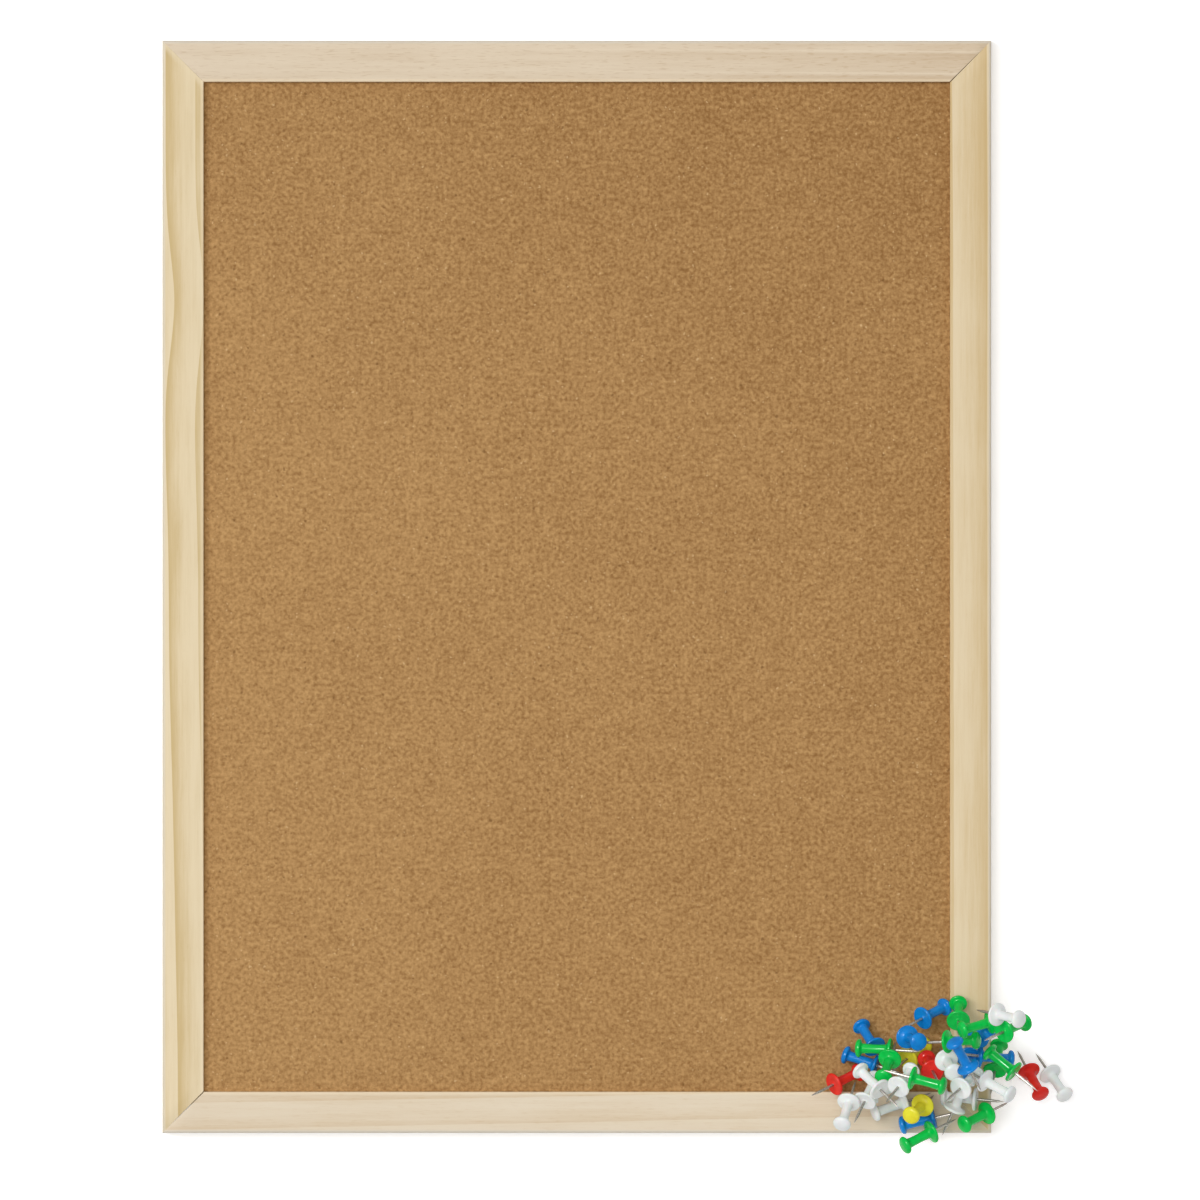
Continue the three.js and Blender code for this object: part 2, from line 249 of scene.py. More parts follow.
def cells(place, size, output):
    """Voronoi cells of about that size: output 0 is the distance to the middle, 1 a random colour."""
    return place.node("ShaderNodeTexVoronoi", {}, {"Vector": place, "Scale": 1 / size}, output=output)


def warped(place, size, reach):
    """The place pushed about by noise of that size, by up to the reach in millimetres."""
    sockets = {"Vector": place, "Scale": 1 / size, "Detail": 2.0}
    push = place.node("ShaderNodeTexNoise", {}, sockets, output=1)
    middle = place.node("ShaderNodeVectorMath", {"operation": "SUBTRACT"}, {0: push, 1: (0.5, 0.5, 0.5)})
    scaled = place.node("ShaderNodeVectorMath", {"operation": "SCALE"}, {0: middle, "Scale": reach * 2})
    return place.node("ShaderNodeVectorMath", {"operation": "ADD"}, {0: place, 1: scaled})


def along_axis(place, axis):
    """One of the place's three distances: axis 0 is x, 1 is y and 2 is z."""
    return place.node("ShaderNodeSeparateXYZ", {}, {0: place}, output=axis)


print("finish helpers ready")

# %% [markdown]
# ## Cork
# The sheet is ground cork pressed with glue: granules of half a millimetre to a millimetre, each
# cut at another place, so each has its own tan, with a few dark bark flecks and pale chips. An
# image would repeat. Voronoi cells pushed about by noise give granules that never do.

# %% Cork finish
cork_roughness, cork_specular, cork_bump = 0.85, 0.12, 0.12
cork_dark, cork_light = paint(137, 96, 50), paint(196, 154, 100)
# Size of the granules, and the size and reach of the noise that bends their edges
granule_size, bend_size, bend_reach = 1.0, 1.3, 0.55
grain_size, cloud_size, drift_size = 1.35, 7.0, 60.0
# How much each pattern changes the tone, and what brings their sum back to the middle
granule_share, grain_share, cloud_share, drift_share, tone_offset = 0.22, 1.05, 0.22, 0.14, 0.305
# Painted shade, darkening the tone for each millimetre to the right, and up the board between two heights
painted_shade_to_right, painted_shade_to_top, painted_shade_heights = 0.00048, 0.08, (40, 200)
# Size of the cells that hold one fleck each, size of the noise that bends them, reach in a cell, colour
flecks = ((2.6, 1.6, 0.26, paint(112, 76, 36)), (1.7, 1.2, 0.28, paint(220, 184, 134)))
fleck_bend, fleck_strength = 0.8, 0.6
# The share of a fleck's reach that has its full colour, before it fades
fleck_core = 0.4
# Only cells whose random number is above about this get a fleck
fleck_chance = (0.8, 0.95)


def make_cork():
    """Tone = random tan of each granule + grain inside it + slow clouds - the painted shade that darkens it
    to the right and towards the top - the offset, and dark and pale flecks go on top."""
    finish, shader, place = start_finish("cork", cork_roughness)
    shader.inputs["Specular IOR Level"].default_value = cork_specular
    granule = cells(warped(place, bend_size, bend_reach), granule_size, 1).channel()
    grain = noise(place, grain_size)
    cloud = noise(place, cloud_size) * cloud_share + noise(place, drift_size, 1.0) * drift_share
    # Painted shade: the tone drops to the right and up the board
    painted_shade = along_axis(place, 0) * painted_shade_to_right + along_axis(place, 1).ramp(*painted_shade_heights) * painted_shade_to_top
    tone = granule * granule_share + grain * grain_share + cloud - painted_shade - tone_offset
    colour = tone.ramp(0.0, 1.0).mix(cork_dark, cork_light)
    for size, bend, reach, shade in flecks:
        spot_place = warped(place, bend, fleck_bend)
        chosen = cells(spot_place, size, 1).channel().ramp(*fleck_chance)
        spot = (1 - cells(spot_place, size, 0).ramp(reach * fleck_core, reach)) * chosen
        colour = (spot * fleck_strength).mix(colour, shade)
    feed(shader, "Base Color", colour)
    relief(shader, tone, cork_bump)
    return finish


cork = make_cork()
print("cork finish made")

# %% [markdown]
# ## The cork's uneven face
# Sanded cork isn't quite flat: granules tear out and leave pits. Bump can't show that from the
# side, so the face is a real height field. White noise smoothed by a bell has no direction and no
# repeat, and the deepest few parts in a thousand become pits.

# %% Shape the cork sheet
cork_cell = 1.15
cork_relief, relief_spread = 0.07, 0.8
# A pit starts where its field passes the first value, and is full depth so much further
pit_depth, pit_spread, pit_from, pit_rise = 0.22, 0.75, 2.9, 0.8
cork_seed = 7


def smooth_noise(random, shape, width):
    """White noise spread by a bell of that many cells, scaled to a spread of 1. The spreading is done
    by multiplying its waves with the bell's own."""
    waves = np.fft.rfft2(random.standard_normal(shape))
    down = np.fft.fftfreq(shape[0])[:, None]
    across = np.fft.rfftfreq(shape[1])[None, :]
    waves *= np.exp(-2 * (np.pi * width) ** 2 * (down ** 2 + across ** 2))
    field = np.fft.irfft2(waves, s=shape)
    return field / field.std()


def cork_surface(low, high):
    """Height over (x, y): the face, less a smooth random relief, less pits where a second random
    field passes its rare peaks. The rim drops to the sheet's back, and one face closes it."""
    random = np.random.default_rng(cork_seed)
    across = np.linspace(low[0], high[0], round((high[0] - low[0]) / cork_cell))
    up = np.linspace(low[1], high[1], round((high[1] - low[1]) / cork_cell))
    x, y = np.meshgrid(across, up, indexing="ij")
    field = smooth_noise(random, x.shape, relief_spread)
    pits = np.clip(smooth_noise(random, x.shape, pit_spread) - pit_from, 0, pit_rise) / pit_rise
    drop = cork_relief * (1 + np.tanh(field)) / 2 + pit_depth * pits
    x, y = (np.pad(values, 1, mode="edge") for values in (x, y))
    z = np.pad(high[2] - drop, 1, constant_values=low[2])
    points = np.stack([x, y, z], axis=-1).reshape(-1, 3)
    rows, columns = x.shape
    number = np.arange(rows * columns).reshape(rows, columns)
    rim = np.concatenate([number[0, :-1], number[:-1, -1], number[-1, :0:-1], number[:0:-1, 0]])
    return points, grid_faces(rows, columns), rim[None, :]


low, high = (np.array(corner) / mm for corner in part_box("cork_sheet"))
cork_sheet = mesh_piece("cork_face", *cork_surface(low, high))
place_piece(cork_sheet, "board", "cork", cork, "cork_sheet")
print("cork sheet:", len(cork_sheet.data.polygons), "faces,", np.round(high - low, 1), "mm")

# %% [markdown]
# ## Pine
# A rail is sawn from a trunk, so its grain is a slice through growth rings: each ring fades from
# pale spring wood into tan summer wood and then starts anew at a crisp line. The line bends round
# a knot that was near. One formula makes that: the distance from the outer edge, less the bend,
# in ring widths; its whole numbers are the crisp lines, and its fraction the fade.

# %% The rails' sizes, from the frame
def rounded_box(name):
    """Low and high corners of a CAD node in millimetres, to a thousandth."""
    return np.round(np.array(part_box(name)) / mm, 3)


left_low, left_high = rounded_box("rail_left")
half_width, half_height = -left_low[0], rounded_box("rail_top")[1][1]
rail_width, face_z, back_z = left_high[0] - left_low[0], left_high[2], left_low[2]
print("frame:", 2 * half_width, "by", 2 * half_height, "mm, rails", rail_width, "mm wide")

# %% Pine finish, one for each rail
pine_roughness, pine_specular, pine_bump = 0.42, 0.12, 0.05
# Grey of the painted shade on the rounded outer edge, and the paler wood along the inner edge
edge_grey, edge_pale = paint(212, 205, 192), paint(240, 220, 186)
edge_shade_strength = 0.6
# How far the rings shift for each millimetre of depth, and how far noise of that size sways them
ring_slant, ring_sway, sway_size = 0.45, 1.2, 7.0
fibre_size, streak_size, blotch_size, dash_size = 0.35, 1.6, 9.0, 0.5
# The patterns are drawn out along the grain: their width as a share of their length
fibre_stretch, blotch_stretch, dash_stretch = 0.035, 0.25, 0.12
# How much each pattern changes the tone, what is added to it, and the range that goes from pale to tan
fibre_share, streak_share, blotch_share, pine_offset = 0.3, 0.5, 0.5, 0.04
pine_range, dash_range = (-0.15, 1.05), (0.56, 0.7)
# Where the painted shade on the outer edge fades out inwards and below the face, and how far from the inner
# edge the paler wood sets in
edge_shade_range, edge_shade_depths, inner_pale_range = (0.5, 1.4), (2.0, 0.6), (1.4, 0.6)


def make_pine(name, upright, side, pale, tan, ring, line, fade, strength, soft=0.02, dashes=0.06, inner_paleness=0.4):
    """Ring number = (distance from the outer edge - the line's) / ring, and the rings slant through the
    thickness. Tan is strongest where a ring starts, after a soft start, and falls off as e to the minus
    fraction over fade. The line follows the distance along the rail, and the strength also the distance
    inwards. Short dashes of darker wood lie along the grain. Painted shade greys the rounded outer edge
    of the face, and the wood is paler along the inner edge."""
    finish, shader, place = start_finish(name, pine_roughness)
    shader.inputs["Specular IOR Level"].default_value = pine_specular
    x, y, z = (along_axis(place, axis) for axis in range(3))
    along, across = (half_height - y, x) if upright else (x + half_width, y)
    inward = across * -side + (half_width if upright else half_height)

    def grain(size, detail, share):
        """Noise drawn out along the rail."""
        stretch = (1, share, 1) if upright else (share, 1, 1)
        return noise(place, size, detail, stretch)

    sway = (grain(sway_size, 2.0, fibre_stretch) - 0.5) * ring_sway
    part = ((inward - (z - face_z) * ring_slant - line(along) + sway) / ring).math("FRACT")
    band = (part / -fade).math("EXPONENT") * part.ramp(0.0, soft) * strength(along, inward)
    fibre = grain(fibre_size, 3.0, fibre_stretch)
    streak = grain(streak_size, 2.0, fibre_stretch)
    blotch = grain(blotch_size, 2.0, blotch_stretch)
    dash = grain(dash_size, 1.0, dash_stretch).ramp(*dash_range)
    tone = band + (streak - 0.5) * streak_share + (fibre - 0.5) * fibre_share
    tone = tone + (blotch - 0.5) * blotch_share + dash * dashes + pine_offset
    colour = tone.ramp(*pine_range).mix(pale, tan)
    # Painted shade: grey on the rounded outer edge of the face
    edge_shade = (1 - inward.ramp(*edge_shade_range)) * z.ramp(*(face_z - depth for depth in edge_shade_depths))
    colour = (edge_shade * edge_shade_strength).mix(colour, edge_grey)
    # Paler wood along the inner edge
    inner_pale = inward.ramp(*(rail_width - reach for reach in inner_pale_range))
    colour = (inner_pale * inner_paleness).mix(colour, edge_pale)
    feed(shader, "Base Color", colour)
    feed(shader, "Roughness", fibre * 0.2 + pine_roughness)
    relief(shader, fibre * 0.6 + streak * 0.4, pine_bump)
    return finish


def left_line(along):
    """A wavy bend round a knot near the top, then a slow drift inwards."""
    bends = along.hill(95, 24) * 2.95 - along.hill(138, 22) * 0.3
    return bends + along.ramp(150, 410) * 4.7 + along.hill(190, 30) * 0.5 + 1.1


def left_strength(along, inward):
    """Nothing beyond the mitre, and weaker towards the inner edge."""
    return (along - inward).ramp(0, 4) * (1.05 - inward.ramp(9, 13) * 0.35)


pine = {
    "rail_left": make_pine(
        "pine_left", True, -1, paint(229, 211, 176), paint(202, 176, 124), ring=10.8,
        line=left_line, fade=0.34, strength=left_strength),
    "rail_right": make_pine(
        "pine_right", True, 1, paint(223, 205, 171), paint(202, 174, 124), ring=12.3,
        line=lambda along: along.ramp(0, 110) * -0.5 + 1.4, fade=0.55,
        strength=lambda along, inward: 1.0 - along.ramp(40, 160) * 0.32, soft=0.06, inner_paleness=0.0),
    "rail_top": make_pine(
        "pine_top", False, 1, paint(221, 204, 179), paint(198, 174, 143), ring=8.0,
        line=lambda along: along * 0.006 + 2.0, fade=1.3,
        strength=lambda along, inward: along.ramp(120, 320) * 0.66 + 0.18, soft=0.2, dashes=0.35),
    "rail_bottom": make_pine(
        "pine_bottom", False, -1, paint(224, 209, 185), paint(204, 178, 141), ring=9.5,
        line=lambda along: along * 0.018 + 0.95, fade=0.35,
        strength=lambda along, inward: 0.5, soft=0.05, dashes=0.15),
}
print("pine finishes:", sorted(pine))

# %% [markdown]
# ## Rails
# Each rail has one section: a rounded front, a groove that holds the panel, and a flat back. It is
# planed in one length and then sawn at 45 degrees. So the mesh is that section carried along a line,
# with each end drawn out to the saw cut. A cube with bevels would need every edge picked by hand.

# %% The rail's section
groove_clearance = 0.3
sheet_low, sheet_high = rounded_box("cork_sheet")
paper_low = rounded_box("backing_paper")[0]
groove_floor = half_width + sheet_low[0] - groove_clearance
groove_top, groove_bottom = sheet_high[2] + groove_clearance, paper_low[2] - groove_clearance
outer_round, inner_round, small_round = 1.0, 0.4, 0.25
arc_steps = 7


def rail_section():
    """Closed loop of (inward, height) points. Each corner becomes a quarter circle that starts and
    ends one radius away: corner + r(a + b) - r(b cos t + a sin t), with a and b towards its neighbours."""
    corners = np.array([
        (0, back_z), (rail_width, back_z), (rail_width, groove_bottom), (groove_floor, groove_bottom),
        (groove_floor, groove_top), (rail_width, groove_top), (rail_width, face_z), (0, face_z),
    ])
    radii = np.full(len(corners), small_round)
    radii[-2:] = inner_round, outer_round
    before = np.roll(corners, 1, axis=0) - corners
    after = np.roll(corners, -1, axis=0) - corners
    before /= np.linalg.norm(before, axis=1)[:, None]
    after /= np.linalg.norm(after, axis=1)[:, None]
    turn = np.linspace(0, np.pi / 2, arc_steps)[None, :, None]
    radius = radii[:, None, None]
    a, b = before[:, None], after[:, None]
    arcs = corners[:, None] + radius * (a + b) - radius * (b * np.cos(turn) + a * np.sin(turn))
    return arcs.reshape(-1, 2)


section = rail_section()
print("rail section:", len(section), "points, inward", section[:, 0].min(), "to", section[:, 0].max())

# %% [markdown]
# Hand-made mitres are never quite shut. On this frame the lower left one gapes on its inner half and
# the upper right one at its very corner, while the others are closed. So every end has its own gap,
# which widens from the outer edge to the inner one, and the sawn edge is broken by a tiny chamfer.

# %% Carry the section along a rail
saw_chamfer = 0.03
rail_stations = 60
# Corner: gap at the outer edge, gap at the inner corner, and where along the cut it starts to open
mitre_gaps = {
    "bottom_right": (0.02, 0.08, 0.5),
    "top_right": (0.01, 0.3, 0.84),
    "top_left": (0.01, 0.03, 0.6),
    "bottom_left": (0.02, 0.34, 0.36),
}


def mitre_gap(corner, inward):
    """Half of the gap's width: the outer value, then a root's quick rise to the inner one."""
    outer, inner, opens = mitre_gaps[corner]
    rise = np.sqrt(np.clip((inward / rail_width - opens) / (1 - opens), 0, 1))
    return (outer + (inner - outer) * rise) / 2


def rail_surface(length, distance, turn, start_corner, end_corner):
    """Point (t, k): section point k, at share t of the way between the two saw cuts. A cut lies at half
    the length less the distance inwards less the gap. The ends close with a chamfer and one face."""
    inward, height = section.T
    middle = section.mean(axis=0)
    towards = (middle - section) / np.linalg.norm(middle - section, axis=1)[:, None]
    cut_start = -(length / 2 - inward - mitre_gap(start_corner, inward) * math.sqrt(2))
    cut_end = length / 2 - inward - mitre_gap(end_corner, inward) * math.sqrt(2)
    share = np.linspace(0, 1, rail_stations)[:, None]
    along = cut_start + saw_chamfer + share * (cut_end - cut_start - 2 * saw_chamfer)
    along = np.concatenate([[cut_start], along, [cut_end]])
    rows = np.repeat(section[None], len(along), axis=0)
    rows[0] += towards * saw_chamfer
    rows[-1] += towards * saw_chamfer
    local = np.concatenate([along[:, :, None], rows], axis=2).reshape(-1, 3)
    cos, sin = math.cos(turn), math.sin(turn)
    x = local[:, 0] * cos - local[:, 1] * sin + sin * distance
    y = local[:, 0] * sin + local[:, 1] * cos - cos * distance
    points = np.stack([x, y, local[:, 2]], axis=1)
    count = len(section)
    caps = np.stack([np.arange(count)[::-1], np.arange(count) + (len(along) - 1) * count])
    return points, grid_faces(len(along), count, closed_columns=True), caps


width, height = 2 * half_width, 2 * half_height
rails = {
    "rail_bottom": rail_surface(width, half_height, 0, "bottom_left", "bottom_right"),
    "rail_right": rail_surface(height, half_width, math.pi / 2, "bottom_right", "top_right"),
    "rail_top": rail_surface(width, half_height, math.pi, "top_right", "top_left"),
    "rail_left": rail_surface(height, half_width, -math.pi / 2, "top_left", "bottom_left"),
}
for name, surface in rails.items():
    rails[name] = mesh_piece(name.replace("rail", "pine_rail"), *surface)
    place_piece(rails[name], "board", "pine", pine[name], name)
print("rails:", {name: len(piece.data.polygons) for name, piece in rails.items()})

# %% [markdown]
# ## Push pins
# A pin is a moulded spool round a steel needle. Its shape is a profile turned round the needle, so
# the mesh is a table of distance and radius swept through a full turn. Each CAD pin gives the line:
# the two corners that lie farthest apart are the needle's tip and the middle of the domed cap.

# %% Find each pin's line
pin_length, head_length = 24.1, 13.4


def corners_of(*names):
    """All corners of these CAD nodes, in millimetres."""
    found = []
    for name in names:
        mesh = frame["nodes"][name].data
        flat = np.empty(len(mesh.vertices) * 3, np.float32)
        mesh.vertices.foreach_get("co", flat)
        found.append(flat.reshape(-1, 3))
    return np.unique(np.concatenate(found) / mm, axis=0)


def pin_line(names):
    """Cap middle and needle direction: the farthest pair of corners, with the cap at the end
    that more corners lie near."""
    corners = corners_of(*names)
    apart = np.linalg.norm(corners[:, None] - corners[None], axis=2)
    first, last = np.unravel_index(apart.argmax(), apart.shape)
    near_first = (apart[first] < pin_length / 4).sum()
    near_last = (apart[last] < pin_length / 4).sum()
    cap, tip = (first, last) if near_first > near_last else (last, first)
    direction = corners[tip] - corners[cap]
    return corners[cap], direction / np.linalg.norm(direction), apart.max()


pins = {}
for node in sorted(frame["nodes"]):
    if node.startswith("pin_"):
        pins.setdefault("_".join(node.split("_")[:3]), []).append(node)
lengths = [pin_line(names)[2] for names in pins.values()]
print(len(pins), "pins,", round(min(lengths), 2), "to", round(max(lengths), 2), "mm long")

# %% The spool's profile
flange_radius, flange_rim, flange_flare = 4.3, 1.15, 1.7
cap_radius, cap_rim, cap_dome, cap_flare = 3.3, 1.0, 1.1, 1.1
barrel_radius, waist_radius = 1.8, 1.65
needle_radius, needle_root, needle_point = 0.5, 7.5, 3.2
point_power, root_taper, needle_turns = 0.8, 0.98, 20
edge_round, dish_depth, dish_inner, dish_outer = 0.5, 0.12, 1.2, 3.4
flare_power, dome_fullness = 3.4, 2.6
dome_steps, flare_steps, waist_steps, rim_steps = 14, 11, 9, 9


def arc(centre, reach, start, stop, steps):
    """Points of an ellipse round a centre (along, radius), from one angle to another in degrees."""
    turn = np.radians(np.linspace(start, stop, steps))
    return np.stack([centre[0] + reach[0] * np.cos(turn), centre[1] + reach[1] * np.sin(turn)], axis=1)


def flare(foot, run, wide):
    """Radius = barrel + (wide - barrel) way ** power, from the barrel's foot along the run."""
    way = np.linspace(0, 1, flare_steps)
    return np.stack([foot + run * way, barrel_radius + (wide - barrel_radius) * way ** flare_power], axis=1)


def spool_profile():
    """(along, radius) from the cap's middle to the flange and down the needle's bore. The cap is a
    fuller ellipse, with powers of sine and cosine. The rims are rounds, the barrel has a waist, and the
    flange has a shallow dish round a boss."""
    cap_line = cap_dome + cap_rim / 2 - head_length
    turn = np.radians(np.linspace(0, 90, dome_steps))
    power = 2 / dome_fullness
    dome = np.stack([cap_line - (head_length + cap_line) * np.cos(turn) ** power,
                     cap_radius * np.sin(turn) ** power], axis=1)
    under = arc((cap_line, cap_radius - edge_round), (cap_rim / 2, edge_round), 75, 15, rim_steps // 2 + 1)
    barrel_top = cap_line + cap_rim / 2 + cap_flare
    barrel_end = -flange_rim - flange_flare
    way = np.linspace(0, 1, waist_steps)[1:-1]
    waist = barrel_radius - (barrel_radius - waist_radius) * np.sin(np.pi * way)
    barrel = np.stack([barrel_top + (barrel_end - barrel_top) * way, waist], axis=1)
    rim_middle = (-flange_rim / 2, flange_radius - edge_round)
    side = arc(rim_middle, (flange_rim / 2, edge_round), 165, 0, rim_steps)
    dish = [(-dish_depth, dish_outer), (-dish_depth, dish_inner)]
    boss = [(0, dish_inner - dish_depth), (0, needle_radius)]
    bore = [(-needle_root, needle_radius), (-needle_root, 0)]
    return np.concatenate([
        dome, under, flare(barrel_top, -cap_flare, cap_radius - edge_round)[::-1], barrel,
        flare(barrel_end, flange_flare, flange_radius - edge_round), side, dish, boss, bore,
    ])


spool = spool_profile()
print("spool profile:", len(spool), "points, widest", spool[:, 1].max(), "mm")

# %% Turn a profile round a line
pin_turns = 48
seam_height, seam_width = 0.04, 0.07
# The seams end where the dome's middle and the flange's face begin
seam_inner, seam_end = 1.0, -0.9


def turned(profile, steps, origin, direction, proud=0.0):
    """Point (i, j) = origin + along_i direction + (radius_i + proud_j)(side cos j + other sin j). The two
    ends of the profile lie on the line, so each closes with a fan of triangles."""
    direction = np.asarray(direction, float)
    side = np.cross(direction, (0, 0, 1) if abs(direction[2]) < 0.9 else (1, 0, 0))
    side /= np.linalg.norm(side)
    other = np.cross(direction, side)
    turn = np.arange(steps) / steps * 2 * np.pi
    along, radius = profile[1:-1].T
    reach = radius[:, None] + np.broadcast_to(proud, (len(radius), steps))
    round_it = side * np.cos(turn)[:, None] + other * np.sin(turn)[:, None]
    rings = origin + along[:, None, None] * direction + reach[:, :, None] * round_it
    poles = origin + profile[[0, -1], 0][:, None] * direction
    points = np.concatenate([rings.reshape(-1, 3), poles])
    last = len(along) * steps
    here, beside = np.arange(steps), (np.arange(steps) + 1) % steps
    start_fan = np.stack([beside, here, np.full(steps, last)], axis=1)
    end_fan = np.stack([here, beside, np.full(steps, last + 1)], axis=1) + [last - steps, last - steps, 0]
    return points, grid_faces(len(along), steps, closed_columns=True), start_fan, end_fan


def needle_profile():
    """(along, radius): a blunt root in the head, a straight shank, and a point that narrows as a power
    of the way to the tip. A power under 1 gives the slightly bellied shape of a ground point."""
    tip = pin_length - head_length
    way = np.linspace(1, 0, 9)
    point = np.stack([tip - needle_point * way, needle_radius * way ** point_power], axis=1)
    shank = [(-needle_root, 0), (-needle_root, needle_radius * root_taper), (0, needle_radius)]
    return np.concatenate([shank, point])


needle = needle_profile()
print("needle profile:", len(needle), "points")

# %% [markdown]
# The plastic is polystyrene, glossy from a polished mould, in four strong colours and a milky white.
# A low roughness gives its highlights, and a faint cloud in the colour keeps it from looking painted.
# Noise does that where an image would show its edges. The needles are drawn steel with fine scratches.

# %% Plastic and needle finishes
plastic_roughness, plastic_specular, plastic_bump = 0.21, 0.16, 0.03
tint_size, gloss_size, ripple_size = 3.5, 1.2, 2.2
gloss_change, scatter_depth = 0.12, 0.8


def make_plastic(name, colour, deeper, scatter=0.0):
    """Colour and gloss follow soft noises. Scatter lets some light into the milky white."""
    finish, shader, place = start_finish(name, plastic_roughness)
    shader.inputs["Specular IOR Level"].default_value = plastic_specular
    shader.inputs["Subsurface Weight"].default_value = scatter
    shader.inputs["Subsurface Scale"].default_value = scatter_depth * mm
    feed(shader, "Base Color", noise(place, tint_size).ramp(0.25, 0.75).mix(colour, deeper))
    gloss = noise(place, gloss_size, 3.0) * gloss_change
    feed(shader, "Roughness", gloss + plastic_roughness - gloss_change / 2)
    relief(shader, noise(place, ripple_size, 1.0), plastic_bump)
    return finish


plastics = {
    "green": make_plastic("plastic_green", paint(4, 202, 80), paint(1, 184, 70)),
    "blue": make_plastic("plastic_blue", paint(18, 138, 220), paint(8, 120, 202)),
    "yellow": make_plastic("plastic_yellow", paint(236, 228, 58), paint(226, 212, 46)),
    "red": make_plastic("plastic_red", paint(236, 50, 38), paint(220, 36, 28)),
    "white": make_plastic("plastic_white", paint(240, 242, 240), paint(230, 234, 232), scatter=0.15),
}


scratch_change, scratch_offset, scratch_depth = 0.25, 0.12, 0.015


def make_steel(name, bright, dull, roughness, size, stretch=(1, 1, 1)):
    """Metal whose colour and roughness follow the same fine noise, as scratches do."""
    finish, shader, place = start_finish(name, roughness, metallic=1.0)
    scratch = noise(place, size, 4.0, stretch)
    feed(shader, "Base Color", scratch.ramp(0.3, 0.7).mix(dull, bright))
    feed(shader, "Roughness", scratch * scratch_change + roughness - scratch_offset)
    relief(shader, scratch, scratch_depth)
    return finish


needle_steel = make_steel("needle_steel", paint(182, 177, 169), paint(128, 124, 117), 0.4, 0.4)
print("pin finishes:", sorted(plastics), "and steel")

# %% Make the pins
ridged_pins = {"pin_green_2": "flange", "pin_white_4": "cap"}
ridge_height, ridge_count = 0.1, 16
# The rim ripples beyond this radius
ridge_from = {"flange": 3.8, "cap": 2.9}


def head_relief(name):
    """Table (profile point, turn) of how far the surface stands proud: two moulding seams opposite
    each other, and on the milled pins a ripple round one rim."""
    turn = np.arange(pin_turns) / pin_turns * 2 * np.pi
    seam = seam_height * np.exp(-(np.sin(turn) / seam_width) ** 2)
    along, radius = spool[1:-1].T
    proud = seam * ((radius > seam_inner) & (along < seam_end))[:, None]
    if name in ridged_pins:
        end = ridged_pins[name]
        near_flange = along > -head_length / 2
        rim = (radius > ridge_from[end]) & (near_flange == (end == "flange"))
        proud = proud + rim[:, None] * ridge_height * np.cos(turn * ridge_count)
    return proud


for name, nodes in pins.items():
    cap, direction, _ = pin_line(nodes)
    colour = name.split("_")[1]
    flange = cap + direction * head_length
    body = body_of[nodes[0]]
    head_nodes = [node for node in nodes if not node.endswith("needle")]
    needle_nodes = [node for node in nodes if not node.endswith("head")]
    head = mesh_piece(name + "_spool", *turned(spool, pin_turns, flange, direction, head_relief(name)))
    place_piece(head, body, "pin_" + colour, plastics[colour], *head_nodes)
    steel = mesh_piece(name + "_steel", *turned(needle, needle_turns, flange, direction))
    place_piece(steel, body, "needle_steel", needle_steel, *needle_nodes)
print("pins made:", len(pins), "heads and needles")

# %% [markdown]
# ## The back
# Nobody looks at the back often, so it is plain: brown kraft paper over the softboard, and at each
# top corner a zinc plated steel plate with a keyhole, held by two countersunk cross-head screws.

# %% Paper and softboard finishes
sheet_stretch, sheet_cloud_size, sheet_cloud_share, sheet_range = 0.25, 30.0, 0.2, (0.36, 0.64)


def make_fibre_sheet(name, light, dark, fibre_size, roughness, depth):
    """Matted fibres: two stretched noises that cross, over a soft cloud."""
    finish, shader, place = start_finish(name, roughness)
    upright = noise(place, fibre_size, 3.0, (1, sheet_stretch, 1))
    level = noise(place, fibre_size, 3.0, (sheet_stretch, 1, 1))
    crossed = upright * 0.5 + level * 0.5
    tone = crossed * (1 - sheet_cloud_share) + noise(place, sheet_cloud_size) * sheet_cloud_share
    feed(shader, "Base Color", tone.ramp(*sheet_range).mix(dark, light))
    relief(shader, crossed, depth)
    return finish


kraft = make_fibre_sheet("kraft_paper", paint(196, 170, 128), paint(170, 142, 100), 0.8, 0.8, 0.04)
softboard = make_fibre_sheet("softboard", paint(164, 132, 90), paint(128, 98, 62), 1.4, 0.9, 0.2)
for name, finish in {"backing_paper": kraft, "softboard_core": softboard}.items():
    node = frame["nodes"][name]
    node.data.materials.clear()
    node.data.materials.append(finish)
print("panel sheets finished")

# %% Soften the hanging plates' edges
plate_steel = make_steel("plate_steel", paint(196, 194, 184), paint(166, 164, 156), 0.38, 0.5, (1, 0.08, 1))
edge_width, edge_segments = 0.12, 2
weld_distance, flat_angle = 0.001, math.radians(0.5)


def softened(node_name, piece_name):
    """Copy of a CAD node with its loose triangles merged, flat ones joined, and a small bevel."""
    work = bmesh.new()
    work.from_mesh(frame["nodes"][node_name].data)
    bmesh.ops.remove_doubles(work, verts=work.verts, dist=weld_distance * mm)
    bmesh.ops.dissolve_limit(work, angle_limit=flat_angle, verts=work.verts, edges=work.edges)
    mesh = bpy.data.meshes.new(piece_name)
    work.to_mesh(mesh)
    work.free()
    mesh.shade_smooth()
    mesh.set_sharp_from_angle(angle=sharp_angle)
    piece = bpy.data.objects.new(piece_name, mesh)
    bpy.context.scene.collection.objects.link(piece)
    bevel = piece.modifiers.new("soft edge", "BEVEL")
    bevel.width = edge_width * mm
    bevel.segments = edge_segments
    bevel.limit_method = "ANGLE"
    bevel.angle_limit = sharp_angle
    bevel.use_clamp_overlap = True
    return piece


for side in ("left", "right"):
    plate = softened(f"hanging_plate_{side}", f"keyhole_plate_{side}")
    place_piece(plate, "board", "plate_steel", plate_steel, f"hanging_plate_{side}")
print("hanging plates finished")

